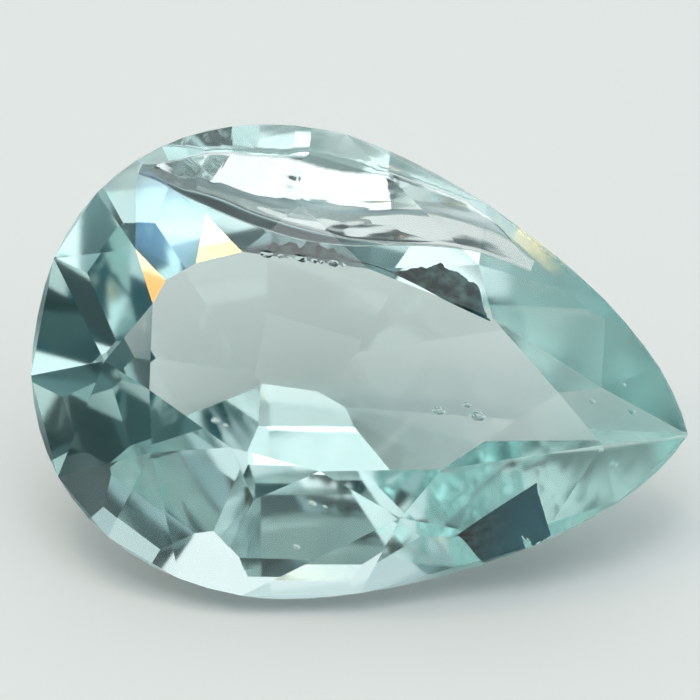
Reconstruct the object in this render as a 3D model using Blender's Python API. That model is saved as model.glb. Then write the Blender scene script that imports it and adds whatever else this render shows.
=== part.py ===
"""Pear-shaped faceted aquamarine, about 9.1 mm long and 6.5 mm wide, lying on one pavilion facet.

The crown is a large flat table ringed by stars, bezels and upper girdle facets. The pavilion is a step cut.
One edge of the table is chipped.

The stone is shaped the way a cutter works: a pear-shaped preform is ground flat once for every facet.
Cutting frame, in millimetres: X runs to the pointed tip, Y across the stone, Z is the table normal and
the origin lies in the middle of the girdle. The finished stone is then turned onto its resting facet,
scaled to metres and moved so that the bottom centre of its bounding box is at the origin.
"""

import math
import random

import bmesh
import bpy
from mathutils import Matrix, Vector

MM = 0.001

# Outline of the girdle
HEAD_X = -4.10
WIDEST_X = -0.63
TIP_X = 4.99
HALF_WIDTH = 3.26
HEAD_EXPONENT = 2.18
SIDE_HANDLE = 1.48
TIP_HANDLE = 1.84
TIP_HALF_ANGLE = 69.0
HEAD_POINTS = 14
SIDE_POINTS = 18

# Heights
GIRDLE_TOP = 0.07
GIRDLE_BOTTOM = -0.07
TABLE_Z = 1.07
DEEPEST_Z = -3.2
MERGE_DISTANCE = 0.004

# Crown: for each bezel facet its azimuth, the table corner that its upper end reaches, half the length of
# the edge where the table cuts that corner off, and how far down the next star facet reaches
BEZELS = [
    (0.0, (3.07, 0.17), 0.0, 0.30),
    (54.8, (2.03, 1.00), 0.0, 0.29),
    (83.1, (0.28, 1.35), 0.0, 0.33),
    (104.7, (-1.42, 1.27), 0.0, 0.31),
    (130.0, (-2.18, 0.86), 0.23, 0.35),
    (166.3, (-2.47, 0.37), 0.0, 0.18),
    (222.7, (-2.30, -0.77), 0.0, 0.25),
    (257.2, (-1.10, -1.33), 0.0, 0.27),
    (272.7, (0.13, -1.43), 0.0, 0.26),
    (303.6, (1.72, -1.11), 0.0, 0.38),
]

# Chips along the far edge of the table, between two bezels: place along the edge from 0 to 1 and half length
CHIPPED_EDGE = (3, 2)
CHIPS = [
    (0.190, 0.100),
    (0.300, 0.055),
    (0.370, 0.045),
    (0.460, 0.095),
    (0.565, 0.050),
    (0.630, 0.040),
    (0.720, 0.085),
    (0.800, 0.040),
]
# A chip's depth as a share of its half length, how far its centre stands outside the edge, and how far its
# corners stray, as a share of the smallest chip's depth
CHIP_DEPTH = 0.62
CHIP_STANDOFF = 0.26
CHIP_WIDTH = 1.3
CHIP_STRAY = 0.45
CHIP_SEED = 5

# Pavilion, a step cut: for each side its azimuth and its tiers from the girdle down, each with its angle
# and how far in from the girdle it starts
SIDES = [
    (36.0, ((31.5, 0.0),)),
    (57.0, ((45.0, 0.0), (37.0, 0.45))),
    (84.0, ((44.0, 0.0), (37.5, 0.55), (34.0, 2.60))),
    (116.0, ((45.0, 0.0), (37.5, 0.60))),
    (154.0, ((47.0, 0.0), (38.0, 0.80))),
    (-154.0, ((50.0, 0.0), (42.0, 0.73), (36.5, 1.56))),
    (-117.0, ((50.0, 0.0), (45.5, 0.44), (40.0, 1.03))),
    (-80.0, ((51.0, 0.0), (46.0, 0.47), (41.0, 0.82), (34.5, 2.41))),
    (-50.0, ((50.0, 0.0), (44.0, 0.39), (39.0, 1.09))),
    (-34.0, ((34.1, 0.0),)),
]
RESTING_SIDE = 7
RESTING_TIER = 2


def direction(azimuth):
    """Unit vector in the girdle plane, azimuth in degrees from the tip."""
    turn = math.radians(azimuth)
    return Vector((math.cos(turn), math.sin(turn), 0.0))


def half_outline():
    """Points of one side of the girdle, from the head end to the tip."""
    points = []
    for step in range(HEAD_POINTS):
        turn = 0.5 * math.pi * step / HEAD_POINTS
        across = math.sin(turn) ** (2.0 / HEAD_EXPONENT)
        along = math.cos(turn) ** (2.0 / HEAD_EXPONENT)
        points.append((WIDEST_X + (HEAD_X - WIDEST_X) * along, HALF_WIDTH * across))
    tip_turn = math.radians(TIP_HALF_ANGLE)
    controls = [
        Vector((WIDEST_X, HALF_WIDTH)),
        Vector((WIDEST_X + SIDE_HANDLE, HALF_WIDTH)),
        Vector((TIP_X - TIP_HANDLE * math.cos(tip_turn), TIP_HANDLE * math.sin(tip_turn))),
        Vector((TIP_X, 0.0)),
    ]
    for step in range(SIDE_POINTS + 1):
        t = step / SIDE_POINTS
        weights = [(1 - t) ** 3, 3 * t * (1 - t) ** 2, 3 * t * t * (1 - t), t**3]
        point = sum((w * c for w, c in zip(weights, controls)), Vector((0.0, 0.0)))
        points.append((point.x, point.y))
    return points


def girdle_outline():
    """Closed outline, anticlockwise from the tip."""
    upper = half_outline()[::-1]
    lower = [(x, -y) for x, y in upper[1:-1]][::-1]
    return [Vector((x, y, 0.0)) for x, y in upper + lower]


def touch(outline, azimuth, height):
    """The outline point that lies farthest out along an azimuth."""
    best = max(outline, key=direction(azimuth).dot)
    return Vector((best.x, best.y, height))


def between(outline, first, second, height):
    """The outline point halfway round from one outline point to the next."""
    near = min(range(len(outline)), key=lambda i: (outline[i] - first).to_2d().length)
    far = min(range(len(outline)), key=lambda i: (outline[i] - second).to_2d().length)
    if far <= near:
        far += len(outline)
    middle = outline[((near + far) // 2) % len(outline)]
    return Vector((middle.x, middle.y, height))


def plane_through(a, b, c, outward_z):
    """A plane as point and normal; the normal points to the side given by the sign of outward_z."""
    normal = (b - a).cross(c - a).normalized()
    if normal.z * outward_z < 0:
        normal.negate()
    return a, normal


def crown_planes(outline):
    """Table, bezels, stars and upper girdle facets."""
    count = len(BEZELS)
    touches = [touch(outline, bezel[0], GIRDLE_TOP) for bezel in BEZELS]
    bezels = []
    ends = []
    for (azimuth, (x, y), half_edge, _), foot in zip(BEZELS, touches):
        corner = Vector((x, y, TABLE_Z))
        along = direction(azimuth + 90.0)
        bezels.append(plane_through(foot, foot + along, corner, 1.0))
        ends.append((corner - half_edge * along, corner + half_edge * along))
    planes = [(Vector((0.0, 0.0, TABLE_Z)), Vector((0.0, 0.0, 1.0)))] + bezels
    for i in range(count):
        j = (i + 1) % count
        (p, m), (q, n) = bezels[i], bezels[j]
        rows = Matrix((m, n, Vector((0.0, 0.0, 1.0))))
        top = rows.inverted() @ Vector((m.dot(p), n.dot(q), TABLE_Z))
        foot = rows.inverted() @ Vector((m.dot(p), n.dot(q), GIRDLE_TOP))
        apex = top.lerp(foot, BEZELS[i][3])
        planes.append(plane_through(ends[i][1], ends[j][0], apex, 1.0))
        middle = between(outline, touches[i], touches[j], GIRDLE_TOP)
        planes.append(plane_through(apex, touches[i], middle, 1.0))
        planes.append(plane_through(apex, middle, touches[j], 1.0))
    return planes


def step_plane(outline, azimuth, angle, inset, height):
    """A pavilion facet at an angle to the girdle plane, starting at an inset from the outline and a height."""
    out = direction(azimuth)
    tilt = math.radians(angle)
    reach = max(out.dot(p) for p in outline) - inset
    point = out * reach + Vector((0.0, 0.0, height))
    return point, out * math.sin(tilt) - Vector((0.0, 0.0, math.cos(tilt)))


def pavilion_planes(outline):
    """The tiers of each side, and between two sides one more facet beside the girdle."""
    planes = []
    for azimuth, tiers in SIDES:
        height = GIRDLE_BOTTOM
        steeper = None
        for angle, start in tiers:
            if steeper:
                height -= (start - steeper[1]) * math.tan(math.radians(steeper[0]))
            planes.append(step_plane(outline, azimuth, angle, start, height))
            steeper = (angle, start)
    for (first, tiers), (second, _) in zip(SIDES, SIDES[1:] + SIDES[:1]):
        middle = first + ((second - first) % 360.0) / 2.0
        if len(tiers) > 1:
            planes.append(step_plane(outline, middle, tiers[0][0], 0.0, GIRDLE_BOTTOM))
    return planes


def preform(outline):
    """An upright prism with the girdle outline, taller than the finished stone."""
    solid = bmesh.new()
    heights = (DEEPEST_Z - 1.0, TABLE_Z + 1.0)
    rings = [[solid.verts.new((p.x, p.y, z)) for p in outline] for z in heights]
    low, high = rings
    solid.faces.new(low[::-1])
    solid.faces.new(high)
    for i in range(len(outline)):
        j = (i + 1) % len(outline)
        solid.faces.new((low[i], low[j], high[j], high[i]))
    return solid


def grind(solid, point, normal):
    """Takes away everything outside a plane and closes the cut with one flat facet."""
    parts = solid.verts[:] + solid.edges[:] + solid.faces[:]
    cut = bmesh.ops.bisect_plane(
        solid, geom=parts, dist=1e-5, plane_co=point, plane_no=normal, clear_outer=True
    )
    rim = [part for part in cut["geom_cut"] if isinstance(part, bmesh.types.BMEdge)]
    if rim:
        bmesh.ops.contextual_create(solid, geom=rim)


def rest_turn():
    """Rotation that lays the resting facet on the floor, with the table leaning towards -Y."""
    azimuth, tiers = SIDES[RESTING_SIDE]
    tilt = math.radians(tiers[RESTING_TIER][0])
    down_slope = direction(azimuth)
    side = direction(azimuth + 90.0)
    table = Vector((0.0, 0.0, 1.0))
    own = Matrix((side, down_slope, table))
    world = Matrix(
        (
            (1.0, 0.0, 0.0),
            (0.0, -math.cos(tilt), -math.sin(tilt)),
            (0.0, -math.sin(tilt), math.cos(tilt)),
        )
    ).transposed()
    return (world @ own).to_4x4()


def stone_material():
    """Clear pale blue-green beryl."""
    material = bpy.data.materials.new("aquamarine")
    material.use_nodes = True
    shader = material.node_tree.nodes["Principled BSDF"]
    shader.inputs["Base Color"].default_value = (0.75, 0.95, 0.94, 1.0)
    shader.inputs["Roughness"].default_value = 0.02
    shader.inputs["IOR"].default_value = 1.577
    shader.inputs["Transmission Weight"].default_value = 1.0
    return material


def make_chips(place):
    """Shallow scooped chips, each an ellipsoid whose centre lies just outside the table's edge."""
    start, end = (Vector((*BEZELS[i][1], TABLE_Z)) for i in CHIPPED_EDGE)
    along = (end - start).normalized()
    outward = (along.cross(Vector((0.0, 0.0, -1.0))) + Vector((0.0, 0.0, 1.0))).normalized()
    across = outward.cross(along)
    scoops = bmesh.new()
    for fraction, half_length in CHIPS:
        depth = half_length * CHIP_DEPTH
        centre = start.lerp(end, fraction) + outward * half_length * CHIP_STANDOFF
        turn = Matrix((along * half_length, across * depth * CHIP_WIDTH, outward * depth)).transposed().to_4x4()
        bmesh.ops.create_icosphere(
            scoops, subdivisions=2, radius=1.0, matrix=place @ Matrix.Translation(centre) @ turn
        )
    dice = random.Random(CHIP_SEED)
    stray = CHIP_STRAY * CHIP_DEPTH * min(half_length for _, half_length in CHIPS) * MM
    for vertex in scoops.verts:
        vertex.co += Vector([dice.uniform(-stray, stray) for _ in range(3)])
    bmesh.ops.recalc_face_normals(scoops, faces=scoops.faces[:])
    mesh = bpy.data.meshes.new("chips")
    scoops.to_mesh(mesh)
    scoops.free()
    chips = bpy.data.objects.new("chips", mesh)
    bpy.context.scene.collection.objects.link(chips)
    chips.hide_render = True
    chips.display_type = "WIRE"
    return chips


def make_stone():
    outline = girdle_outline()
    solid = preform(outline)
    for point, normal in crown_planes(outline) + pavilion_planes(outline):
        grind(solid, point, normal)
    bmesh.ops.remove_doubles(solid, verts=solid.verts[:], dist=MERGE_DISTANCE)
    bmesh.ops.dissolve_degenerate(solid, edges=solid.edges[:], dist=MERGE_DISTANCE)
    bmesh.ops.recalc_face_normals(solid, faces=solid.faces[:])
    place = Matrix.Scale(MM, 4) @ rest_turn()
    corners = [place @ v.co for v in solid.verts]
    low = Vector([min(corner[k] for corner in corners) for k in range(3)])
    high = Vector([max(corner[k] for corner in corners) for k in range(3)])
    centre = Vector(((low.x + high.x) / 2, (low.y + high.y) / 2, low.z))
    place = Matrix.Translation(-centre) @ place
    solid.transform(place)
    mesh = bpy.data.meshes.new("aquamarine")
    solid.to_mesh(mesh)
    solid.free()
    mesh.materials.append(stone_material())
    stone = bpy.data.objects.new("aquamarine", mesh)
    bpy.context.scene.collection.objects.link(stone)
    chipping = stone.modifiers.new("chipping", "BOOLEAN")
    chipping.operation = "DIFFERENCE"
    chipping.solver = "EXACT"
    chipping.object = make_chips(place)
    return stone


for old in list(bpy.data.objects):
    bpy.data.objects.remove(old)
make_stone()
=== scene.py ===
"""Cut aquamarine on white paper, seen from above its table. Lengths in metres, the row frame's axes."""

import math

import bmesh
import bpy
from mathutils import Matrix, Vector, noise
from mathutils.bvhtree import BVHTree


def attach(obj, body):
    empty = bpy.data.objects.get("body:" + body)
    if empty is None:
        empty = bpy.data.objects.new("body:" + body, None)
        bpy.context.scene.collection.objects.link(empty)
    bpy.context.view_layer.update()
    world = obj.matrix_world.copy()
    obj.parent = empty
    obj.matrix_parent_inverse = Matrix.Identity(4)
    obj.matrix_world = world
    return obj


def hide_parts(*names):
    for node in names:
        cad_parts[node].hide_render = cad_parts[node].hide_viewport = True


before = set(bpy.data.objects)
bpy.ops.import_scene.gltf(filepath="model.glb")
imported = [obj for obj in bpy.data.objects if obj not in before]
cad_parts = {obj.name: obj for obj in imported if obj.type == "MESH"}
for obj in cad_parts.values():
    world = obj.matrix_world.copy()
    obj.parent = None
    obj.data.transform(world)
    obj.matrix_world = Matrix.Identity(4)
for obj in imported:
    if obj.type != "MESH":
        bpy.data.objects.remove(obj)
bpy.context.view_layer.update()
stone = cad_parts["aquamarine"]
scene = bpy.context.scene

# The camera looks at a target on the stone, angles in degrees, lens in millimetres
CAMERA_ELEVATION = 44.520
CAMERA_AZIMUTH = -0.115
CAMERA_ROLL = 0.442
CAMERA_DISTANCE = 0.034543
CAMERA_TARGET = (-0.000133, 0.000574, 0.0020)
LENS = 126.5

# The room
FLOOR_Z = -0.00001
FLOOR_HALF = 0.25
PAPER = (0.87, 0.88, 0.88, 1.0)
LAMP_DISTANCE = 0.25
BOUNCES = 32

# The cutting frame, in which the stone's inner marks are placed, in millimetres: X to the tip, Y across,
# Z the table normal, origin in the middle of the girdle. The stone rests on the pavilion facet at the rest
# azimuth, which turns the table by the rest tilt.
MM = 0.001
REST_TILT = 41.0
REST_AZIMUTH = -80.0
GIRDLE_CENTRE = (-0.406278, -0.109425, 2.289115)
TABLE_NORMAL = (0.0, -math.sin(math.radians(REST_TILT)), math.cos(math.radians(REST_TILT)))

# How the stone bends and colours light. A span is two distances along an axis of the row frame, between
# which one look passes into the other.
IOR = 1.577
ABSORPTION = (0.70, 0.945, 0.925, 1.0)
ABSORPTION_DENSITY = 108.0
BODY_TINT = (0.97, 1.0, 1.0, 1.0)
TIP_TINT = (0.76, 1.0, 0.97, 1.0)
TINT_SPAN = (0.0018, 0.0040)
POLISH = 0.06
TIP_HAZE = 0.18
HAZE_AXIS = (0.854, 0.392, 0.341)
HAZE_SPAN = (0.0021, 0.0034)

# The ground girdle: where it starts and ends, below and above its middle, along the table normal
GIRDLE_ROUGHNESS = 0.45
GIRDLE_BELOW = (-0.000085, -0.000070)
GIRDLE_ABOVE = (0.000060, 0.000072)

# The clear walls of a hollow, and the dark walls of the other fractures: painted shade under the near
# crown, partly a real crack and partly painted dark reflection along the table's edge. Lighter where their
# noise passes the grain span, and a painted deep teal shade towards the tip, where X passes the teal shade
# span
HOLLOW_CLOUDY = (0.88, 0.95, 0.93, 1.0)
HOLLOW_CLEAR = (1.0, 1.0, 1.0, 1.0)
CRACK_AND_SHADE_DARK = (0.018, 0.045, 0.043, 1.0)
CRACK_AND_SHADE_LIGHT = (0.16, 0.33, 0.31, 1.0)
PAINTED_SHADE_TEAL = (0.035, 0.25, 0.32, 1.0)
PAINTED_SHADE_TEAL_SPAN = (0.0014, 0.0021)
GRAIN_SPAN = (0.40, 0.70)

# The fracture under the far crown: points of the line along which it comes nearest to the surface, X and Y
FEATHER_LINE = [
    (-3.10, 2.17),
    (-2.75, 2.08),
    (-2.36, 1.93),
    (-1.96, 1.81),
    (-1.33, 1.66),
    (-0.69, 1.58),
    (-0.02, 1.62),
    (0.64, 1.76),
    (1.18, 1.85),
    (1.72, 1.88),
    (2.15, 1.83),
    (2.45, 1.78),
]
# The ragged little fracture along the chipped far edge of the table, its dark walls partly a real crack and
# partly painted dark reflection
EDGE_LINE = [
    (-1.50, 1.31),
    (-1.05, 1.33),
    (-0.60, 1.36),
    (-0.15, 1.39),
    (0.35, 1.40),
    (0.90, 1.27),
    (1.40, 1.11),
    (2.00, 0.95),
]
# A dark sheet of painted shade under the near crown, shaped like a fracture, from its end near the tip to
# its end near the girdle
NEAR_SHADE_LINE = [
    (3.02, -1.04),
    (2.72, -1.32),
    (2.40, -1.62),
    (2.10, -1.92),
]
# How a fracture is built: the number of columns along its line and of rows down its way, the step of that
# way, the stone left over its top, its gap, and the number of columns and rows in which the gap closes
COLUMNS = 180
ROWS = 48
STEP = 0.02
COVER = 0.012
GAP = 0.010
TAPER_COLUMNS = 6.0
TAPER_ROWS = 3.0
# A fracture ends where it comes this near to the surface, except at the start of its way, under the crown
CLEARANCE = 0.03
START = 0.3
# A height above the table from which a ray looks down for the crown
ABOVE_TABLE = 4.0

# Bubbles: a point of the crown in the cutting frame, the depth under it and the radius
BUBBLES = [
    ((2.08, -0.31, 1.07), 0.30, 0.085),
    ((1.91, -0.19, 1.07), 0.35, 0.050),
    ((1.55, -0.33, 1.07), 0.45, 0.070),
    ((0.09, -1.82, 0.86), 0.25, 0.055),
    ((0.27, -1.83, 0.85), 0.25, 0.030),
    ((-0.01, -2.45, 0.51), 0.12, 0.045),
    ((-1.36, -1.01, 1.07), 0.10, 0.050),
    ((-1.22, -1.05, 1.07), 0.14, 0.035),
    ((4.10, 0.16, 0.40), 0.15, 0.050),
    ((3.98, -0.55, 0.40), 0.20, 0.060),
    ((3.90, 0.45, 0.42), 0.22, 0.045),
    ((3.50, 0.18, 0.60), 0.18, 0.040),
]
BUBBLE_STRETCH = (1.25, 0.85, 1.0)

# The order of the materials on the stone
STONE_SLOT = 0
HOLLOW_SLOT = 1
CRACK_AND_SHADE_SLOT = 2


def link(obj):
    scene.collection.objects.link(obj)
    return obj


def make_camera():
    elevation = math.radians(CAMERA_ELEVATION)
    azimuth = math.radians(CAMERA_AZIMUTH)
    roll = math.radians(CAMERA_ROLL)
    back = Vector(
        (
            math.sin(azimuth) * math.cos(elevation),
            -math.cos(azimuth) * math.cos(elevation),
            math.sin(elevation),
        )
    )
    right = Vector((math.cos(azimuth), math.sin(azimuth), 0.0))
    up = back.cross(right)
    rolled_right = math.cos(roll) * right + math.sin(roll) * up
    rolled_up = math.cos(roll) * up - math.sin(roll) * right
    turn = Matrix((rolled_right, rolled_up, back)).transposed().to_4x4()
    data = bpy.data.cameras.new("camera")
    data.lens = LENS
    data.sensor_width = 36.0
    data.clip_start = 0.001
    data.clip_end = 5.0
    camera = link(bpy.data.objects.new("camera", data))
    camera.matrix_world = Matrix.Translation(Vector(CAMERA_TARGET) + back * CAMERA_DISTANCE) @ turn
    scene.camera = camera


def new_material(name):
    material = bpy.data.materials.new(name)
    material.use_nodes = True
    material.node_tree.nodes.clear()
    return material, material.node_tree.nodes, material.node_tree.links


def fade_along(nodes, links, place, axis, span, values):
    """A value that changes smoothly from the first to the second within a span of an axis."""
    dot = nodes.new("ShaderNodeVectorMath")
    dot.operation = "DOT_PRODUCT"
    dot.inputs[1].default_value = axis
    fade = nodes.new("ShaderNodeMapRange")
    fade.interpolation_type = "SMOOTHSTEP"
    fade.inputs["From Min"].default_value, fade.inputs["From Max"].default_value = span
    fade.inputs["To Min"].default_value, fade.inputs["To Max"].default_value = values
    links.new(place, dot.inputs[0])
    links.new(dot.outputs["Value"], fade.inputs["Value"])
    return fade.outputs["Result"]


def multiply(nodes, links, first, second):
    product = nodes.new("ShaderNodeMath")
    product.operation = "MULTIPLY"
    links.new(first, product.inputs[0])
    links.new(second, product.inputs[1])
    return product.outputs["Value"]


def mix_colours(nodes, links, factor, first, second):
    """A colour between two, each of them a fixed colour or the output of another node."""
    mix = nodes.new("ShaderNodeMix")
    mix.data_type = "RGBA"
    links.new(factor, mix.inputs["Factor"])
    for name, colour in (("A", first), ("B", second)):
        if isinstance(colour, tuple):
            mix.inputs[name].default_value = colour
        else:
            links.new(colour, mix.inputs[name])
    return mix.outputs["Result"]


def stone_material():
    """Clear beryl: plain transmission, a faint blue-green absorption, deeper colour and haze at the tip."""
    material, nodes, links = new_material("aquamarine")
    place = nodes.new("ShaderNodeTexCoord").outputs["Object"]
    tip = fade_along(nodes, links, place, (1.0, 0.0, 0.0), TINT_SPAN, (0.0, 1.0))
    tint = mix_colours(nodes, links, tip, BODY_TINT, TIP_TINT)
    haze = fade_along(nodes, links, place, HAZE_AXIS, HAZE_SPAN, (POLISH, TIP_HAZE))
    middle = MM * Vector(GIRDLE_CENTRE).dot(Vector(TABLE_NORMAL))
    lower = [middle + height for height in GIRDLE_BELOW]
    upper = [middle + height for height in GIRDLE_ABOVE]
    over = fade_along(nodes, links, place, TABLE_NORMAL, lower, (0.0, 1.0))
    under = fade_along(nodes, links, place, TABLE_NORMAL, upper, (1.0, 0.0))
    roughness = nodes.new("ShaderNodeMix")
    roughness.inputs["B"].default_value = GIRDLE_ROUGHNESS
    links.new(multiply(nodes, links, over, under), roughness.inputs["Factor"])
    links.new(haze, roughness.inputs["A"])
    shader = nodes.new("ShaderNodeBsdfPrincipled")
    shader.inputs["IOR"].default_value = IOR
    shader.inputs["Transmission Weight"].default_value = 1.0
    volume = nodes.new("ShaderNodeVolumeAbsorption")
    volume.inputs["Color"].default_value = ABSORPTION
    volume.inputs["Density"].default_value = ABSORPTION_DENSITY
    output = nodes.new("ShaderNodeOutputMaterial")
    links.new(tint, shader.inputs["Base Color"])
    links.new(roughness.outputs["Result"], shader.inputs["Roughness"])
    links.new(shader.outputs["BSDF"], output.inputs["Surface"])
    links.new(volume.outputs["Volume"], output.inputs["Volume"])
    return material


def hollow_material():
    """The same stone seen at the wall of a hollow inside it, a little cloudy in places."""
    material, nodes, links = new_material("hollow")
    cloud = nodes.new("ShaderNodeTexNoise")
    cloud.inputs["Scale"].default_value = 2500.0
    shader = nodes.new("ShaderNodeBsdfPrincipled")
    shader.inputs["Roughness"].default_value = 0.0
    shader.inputs["IOR"].default_value = IOR
    shader.inputs["Transmission Weight"].default_value = 1.0
    output = nodes.new("ShaderNodeOutputMaterial")
    links.new(nodes.new("ShaderNodeTexCoord").outputs["Object"], cloud.inputs["Vector"])
    shade = mix_colours(nodes, links, cloud.outputs["Fac"], HOLLOW_CLOUDY, HOLLOW_CLEAR)
    links.new(shade, shader.inputs["Base Color"])
    links.new(shader.outputs["BSDF"], output.inputs["Surface"])
    return material


def crack_and_shade_material():
    """Dark mottled fracture walls: painted shade under the near crown, partly a real crack and partly
    painted dark reflection along the table's edge, a painted deep blue-green shade towards the tip.
    """
    material, nodes, links = new_material("crack_and_painted_shade")
    place = nodes.new("ShaderNodeTexCoord").outputs["Object"]
    grain = nodes.new("ShaderNodeTexNoise")
    grain.inputs["Scale"].default_value = 5500.0
    grain.inputs["Detail"].default_value = 4.0
    mottle = nodes.new("ShaderNodeMapRange")
    mottle.inputs["From Min"].default_value, mottle.inputs["From Max"].default_value = GRAIN_SPAN
    where = nodes.new("ShaderNodeSeparateXYZ")
    teal_shade_fade = nodes.new("ShaderNodeMapRange")
    teal_shade_fade.inputs["From Min"].default_value, teal_shade_fade.inputs["From Max"].default_value = PAINTED_SHADE_TEAL_SPAN
    shader = nodes.new("ShaderNodeBsdfPrincipled")
    shader.inputs["Roughness"].default_value = 0.7
    shader.inputs["Specular IOR Level"].default_value = 0.1
    output = nodes.new("ShaderNodeOutputMaterial")
    links.new(place, grain.inputs["Vector"])
    links.new(grain.outputs["Fac"], mottle.inputs["Value"])
    links.new(place, where.inputs["Vector"])
    links.new(where.outputs["X"], teal_shade_fade.inputs["Value"])
    shade = mix_colours(nodes, links, mottle.outputs["Result"], CRACK_AND_SHADE_DARK, CRACK_AND_SHADE_LIGHT)
    # A painted deep teal shade towards the tip
    teal_shaded = mix_colours(nodes, links, teal_shade_fade.outputs["Result"], shade, PAINTED_SHADE_TEAL)
    links.new(teal_shaded, shader.inputs["Base Color"])
    links.new(shader.outputs["BSDF"], output.inputs["Surface"])
    return material


def to_row(point):
    """A point of the cutting frame, in millimetres, in the row frame, in metres."""
    tilt = math.radians(REST_TILT)
    azimuth = math.radians(REST_AZIMUTH)
    down = Vector((math.cos(azimuth), math.sin(azimuth), 0.0))
    side = Vector((-math.sin(azimuth), math.cos(azimuth), 0.0))
    across = point.dot(down)
    turned = Vector(
        (
            point.dot(side),
            -across * math.cos(tilt) - point.z * math.sin(tilt),
            -across * math.sin(tilt) + point.z * math.cos(tilt),
        )
    )
    return (turned + Vector(GIRDLE_CENTRE)) * MM


def on_curve(points, share):
    """A point and the direction of a smooth curve through points, at a share of its length."""
    place = share * (len(points) - 1)
    index = min(int(place), len(points) - 2)
    t = place - index
    start, end = points[index], points[index + 1]
    before = points[index - 1] if index else start * 2 - end
    after = points[index + 2] if index + 2 < len(points) else end * 2 - start
    leaving, arriving = (end - before) * 0.5, (after - start) * 0.5
    spot = (
        start * (2 * t**3 - 3 * t**2 + 1)
        + leaving * (t**3 - 2 * t**2 + t)
        + end * (3 * t**2 - 2 * t**3)
        + arriving * (t**3 - t**2)
    )
    slope = (
        start * (6 * t**2 - 6 * t)
        + leaving * (3 * t**2 - 4 * t + 1)
        + end * (6 * t - 6 * t**2)
        + arriving * (3 * t**2 - 2 * t)
    )
    return spot, slope.normalized()


def along_track(track, share):
    """A point at a share of the way along a list of points."""
    place = share * (len(track) - 1)
    index = min(int(place), len(track) - 2)
    return track[index].lerp(track[index + 1], place - index)


def smooth(low, high, value):
    share = max(0.0, min(1.0, (value - low) / (high - low)))
    return share * share * (3 - 2 * share)


def hump(value, rise, full, fall, end):
    """Grows from 0 to 1 between the first two values and goes back to 0 between the last two."""
    return smooth(rise, full, value) * (1.0 - smooth(fall, end, value))


def ragged(share, coarse, fine, seed):
    """Noise of two sizes along a line."""
    large = noise.noise(Vector((coarse * share, seed, 0.0)))
    small = noise.noise(Vector((fine * share, seed + 4.0, 0.0)))
    return large + 0.5 * small


def feather_dip(share, width):
    """The dip in degrees of the fracture under the far crown, by a share of its line and a width from it.

    It starts steep and passes into a flatter shelf, later in the part of its line nearer the round end.
    """
    steep_width = 0.04 + 0.32 * hump(share, 0.10, 0.30, 0.42, 0.66)
    shelf = smooth(0.6 * steep_width, steep_width + 0.10, width)
    wide_streaks = noise.noise(Vector((7.0 * share, 9.0 * width, 0.0)))
    fine_streaks = noise.noise(Vector((16.0 * share, 40.0 * width, 3.0)))
    return 67.5 - 14.0 * shelf + (1.6 + 0.9 * shelf) * (wide_streaks + fine_streaks)


def feather_reach(share):
    """How far outwards the fracture under the far crown goes, in millimetres, at a share of its line."""
    return 0.15 + 0.85 * hump(share, 0.0, 0.30, 0.60, 1.0)


def edge_dip(share, width):
    """The dip of the fracture along the table's edge."""
    return 38.0 + 14.0 * noise.noise(Vector((30.0 * share, 12.0 * width, 7.0)))


def edge_reach(share):
    """The reach of the fracture along the table's edge: two ragged patches with almost nothing between."""
    first = hump(share, 0.05, 0.20, 0.36, 0.52)
    second = hump(share, 0.62, 0.80, 0.90, 1.0)
    torn = ragged(share, coarse=14.0, fine=36.0, seed=5.0)
    return 0.012 + 0.15 * first + 0.40 * second + 0.12 * (first + second) * torn


def near_shade_dip(share, width):
    """The dip of the dark sheet of painted shade under the near crown."""
    return 50.0 + 8.0 * noise.noise(Vector((9.0 * share, 9.0 * width, 11.0)))


def near_shade_reach(share):
    """The reach of the dark sheet of painted shade under the near crown."""
    torn = ragged(share, coarse=9.0, fine=30.0, seed=15.0)
    return 0.02 + 0.78 * hump(share, 0.0, 0.16, 0.86, 1.0) * (0.85 + 0.5 * torn)


def fracture_columns(surface, points, dip_at, reach_at):
    """Points in the middle of a fracture: a column for each place on its line, from the crown outwards."""
    line = [Vector(point) for point in points]
    columns = []
    for number in range(COLUMNS + 1):
        share = number / COLUMNS
        spot, slope = on_curve(line, share)
        top = surface.ray_cast(Vector((spot.x, spot.y, ABOVE_TABLE)), Vector((0.0, 0.0, -1.0)))[0]
        point = top - Vector((0.0, 0.0, COVER))
        track = [point]
        width = 0.0
        while (point - top).to_2d().length < reach_at(share):
            if width >= START and surface.find_nearest(point)[3] <= CLEARANCE:
                break
            dip = math.radians(dip_at(share, width))
            level = math.cos(dip)
            point = point + STEP * Vector((-slope.y * level, slope.x * level, -math.sin(dip)))
            track.append(point)
            width += STEP
        columns.append([along_track(track, row / ROWS) for row in range(ROWS + 1)])
    return columns


def make_fracture(solid, surface, points, dip_at, reach_at, slot):
    """A fracture as a thin closed shell inside the stone, whose faces look into it."""
    columns = fracture_columns(surface, points, dip_at, reach_at)
    layers = []
    for side in (1.0, -1.0):
        layer = []
        for number, column in enumerate(columns):
            corners = []
            for row, point in enumerate(column):
                from_ends = min(number, COLUMNS - number) / TAPER_COLUMNS
                from_rims = min(row, ROWS - row) / TAPER_ROWS
                if side < 0 and min(from_ends, from_rims) == 0:
                    corners.append(layers[0][number][row])
                    continue
                along = columns[min(number + 1, COLUMNS)][row] - columns[max(number - 1, 0)][row]
                down = column[min(row + 1, ROWS)] - column[max(row - 1, 0)]
                normal = along.cross(down).normalized()
                half_gap = 0.5 * GAP * min(1.0, from_ends, from_rims)
                corners.append(solid.verts.new(point + normal * side * half_gap))
            layer.append(corners)
        layers.append(layer)
    for side, layer in zip((1, -1), layers):
        for here, there in zip(layer, layer[1:]):
            for row in range(ROWS):
                corners = [here[row], there[row], there[row + 1], here[row + 1]]
                face = solid.faces.new(corners[::-1] if side > 0 else corners)
                face.material_index = slot
                face.smooth = True


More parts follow.
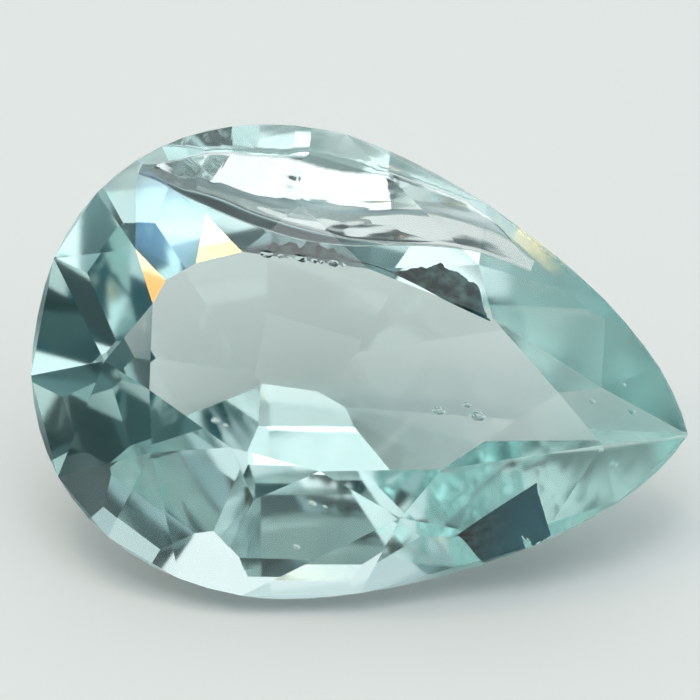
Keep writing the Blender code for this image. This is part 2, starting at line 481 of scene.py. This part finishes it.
def make_bubbles(solid):
    for spot, depth, radius in BUBBLES:
        place = Matrix.Translation(Vector(spot) - Vector((0.0, 0.0, depth)))
        shape = Matrix.Diagonal((*BUBBLE_STRETCH, 1.0))
        ball = bmesh.ops.create_icosphere(solid, subdivisions=3, radius=radius, matrix=place @ shape)
        faces = {face for vertex in ball["verts"] for face in vertex.link_faces}
        bmesh.ops.reverse_faces(solid, faces=list(faces))
        for face in faces:
            face.material_index = HOLLOW_SLOT
            face.smooth = True


def make_cut_stone():
    """The stone with its inner marks, which are hollows: their faces look into them."""
    solid = bmesh.new()
    solid.from_mesh(stone.data)
    origin = to_row(Vector())
    axes = ((1, 0, 0), (0, 1, 0), (0, 0, 1))
    to_cutting = Matrix([(to_row(Vector(axis)) - origin) / MM for axis in axes])
    for vertex in solid.verts:
        vertex.co = to_cutting @ ((vertex.co - origin) / MM)
    for face in solid.faces:
        face.material_index = STONE_SLOT
    surface = BVHTree.FromBMesh(solid)
    make_fracture(solid, surface, FEATHER_LINE, feather_dip, feather_reach, HOLLOW_SLOT)
    # Along the table's edge: dark walls, partly a real crack and partly painted dark reflection
    make_fracture(solid, surface, EDGE_LINE, edge_dip, edge_reach, CRACK_AND_SHADE_SLOT)
    # Under the near crown: a dark sheet of painted shade
    make_fracture(solid, surface, NEAR_SHADE_LINE, near_shade_dip, near_shade_reach, CRACK_AND_SHADE_SLOT)
    make_bubbles(solid)
    for vertex in solid.verts:
        vertex.co = to_row(vertex.co)
    mesh = bpy.data.meshes.new("aquamarine_cut")
    solid.to_mesh(mesh)
    solid.free()
    mesh.materials.append(stone_material())
    mesh.materials.append(hollow_material())
    mesh.materials.append(crack_and_shade_material())
    piece = link(bpy.data.objects.new("aquamarine_cut", mesh))
    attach(piece, "root")
    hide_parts("aquamarine")


def paper_material():
    material, nodes, links = new_material("paper")
    shader = nodes.new("ShaderNodeBsdfPrincipled")
    shader.inputs["Base Color"].default_value = PAPER
    shader.inputs["Roughness"].default_value = 0.9
    output = nodes.new("ShaderNodeOutputMaterial")
    links.new(shader.outputs["BSDF"], output.inputs["Surface"])
    return material


def make_floor():
    mesh = bpy.data.meshes.new("floor")
    corners = [(-1, -1), (1, -1), (1, 1), (-1, 1)]
    mesh.from_pydata([(x * FLOOR_HALF, y * FLOOR_HALF, FLOOR_Z) for x, y in corners], [], [(0, 1, 2, 3)])
    mesh.materials.append(paper_material())
    floor = link(bpy.data.objects.new("floor", mesh))


def make_world():
    """A soft room: bright overhead, dim and teal towards the walls, and dark around the viewer."""
    world = bpy.data.worlds.new("studio")
    scene.world = world
    world.use_nodes = True
    nodes = world.node_tree.nodes
    links = world.node_tree.links
    nodes.clear()
    towards = nodes.new("ShaderNodeTexCoord").outputs["Generated"]
    overhead = Vector((0.0, 0.1, 1.0)).normalized()
    viewer = Vector((0.0, -0.70, 0.71)).normalized()
    sky = fade_along(nodes, links, towards, overhead, span=(0.20, 0.98), values=(0.045, 1.32))
    shadow = fade_along(nodes, links, towards, viewer, span=(0.86, 0.95), values=(1.0, 0.04))
    strength = multiply(nodes, links, sky, shadow)
    tone = mix_colours(nodes, links, strength, first=(0.35, 0.80, 0.84, 1.0), second=(0.95, 1.0, 1.0, 1.0))
    background = nodes.new("ShaderNodeBackground")
    output = nodes.new("ShaderNodeOutputWorld")
    links.new(tone, background.inputs["Color"])
    links.new(strength, background.inputs["Strength"])
    links.new(background.outputs["Background"], output.inputs["Surface"])


def make_light(name, place, aim, size, power):
    data = bpy.data.lights.new(name, "AREA")
    data.shape = "RECTANGLE"
    data.size, data.size_y = size
    data.energy = power
    light = link(bpy.data.objects.new(name, data))
    light.location = place
    light.rotation_euler = (Vector(aim) - Vector(place)).to_track_quat("-Z", "Y").to_euler()
    return light


def make_glint(name, facet, towards, size, power, colour):
    """A small lamp that one facet mirrors to the camera."""
    place = Vector(facet) + LAMP_DISTANCE * Vector(towards)
    light = make_light(name, place, facet, (size, size), power)
    light.data.color = colour


def make_lights():
    """A window overhead, and the lamps behind the flashes of three star facets."""
    make_light("window", place=(-0.02, 0.02, 0.20), aim=(0.0, 0.0, 0.0), size=(0.12, 0.08), power=0.060)
    make_glint(
        "cream_lamp",
        facet=(-0.00200, 0.00061, 0.00412),
        towards=(-0.231, 0.277, 0.933),
        size=0.02,
        power=0.030,
        colour=(1.0, 0.78, 0.34),
    )
    make_glint(
        "amber_lamp",
        facet=(-0.00280, 0.00023, 0.00382),
        towards=(-0.777, 0.107, 0.620),
        size=0.02,
        power=0.028,
        colour=(1.0, 0.46, 0.10),
    )
    make_glint(
        "blue_lamp",
        facet=(-0.00265, 0.00093, 0.00406),
        towards=(-0.460, 0.346, 0.818),
        size=0.008,
        power=0.0016,
        colour=(0.25, 0.60, 1.0),
    )


def set_light_paths():
    """A cut stone turns light round inside itself many times before it comes out."""
    scene.cycles.max_bounces = BOUNCES
    scene.cycles.glossy_bounces = BOUNCES
    scene.cycles.transmission_bounces = BOUNCES
    scene.cycles.transparent_max_bounces = BOUNCES
    scene.cycles.volume_bounces = 0


make_camera()
make_cut_stone()
make_floor()
make_world()
make_lights()
set_light_paths()
scene.view_settings.view_transform = "Standard"
